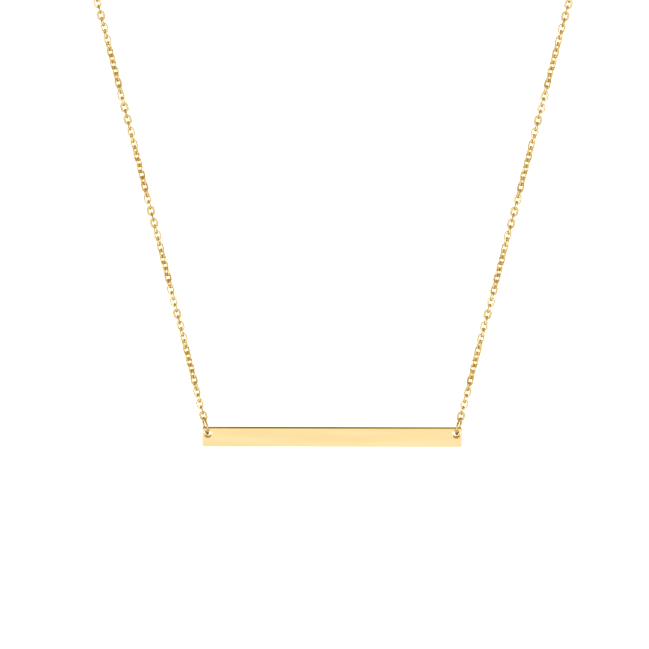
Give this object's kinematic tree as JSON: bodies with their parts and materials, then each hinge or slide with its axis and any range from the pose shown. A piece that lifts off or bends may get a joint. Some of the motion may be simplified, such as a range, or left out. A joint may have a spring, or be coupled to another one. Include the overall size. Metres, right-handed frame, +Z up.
{
  "type": "bar pendant necklace",
  "caption": "Slim polished bar hung level by a jump ring at each end from a fine cable chain that closes at the nape in a spring ring clasp.",
  "frame": {"origin": "middle of the clasp, where the necklace lies on the nape of the neck", "axes": "+Z up as worn, the front of the bar faces -Y, the bar is long in X"},
  "size_m": [0.1004, 0.0904, 0.1064],
  "materials": {
    "bar_gold": "gold plated, polished",
    "chain_gold": "gold plated, bright",
    "clasp_gold": "gold plated, polished"
  },
  "bodies": {
    "necklace": {"chain_front_left": "chain_gold", "chain_front_right": "chain_gold", "chain_back_left": "chain_gold", "chain_back_right": "chain_gold", "end_ring": "clasp_gold", "clasp": "clasp_gold"},
    "pendant": {"bar": "bar_gold", "jump_ring_left": "bar_gold", "jump_ring_right": "bar_gold"}
  },
  "joints": [
    {"name": "bar_swing", "type": "hinge", "parent": "necklace", "child": "pendant", "pos_m": [0, -0.087, -0.09903], "axis": [1, 0, 0], "range_deg": [-38, 38]}
  ]
}
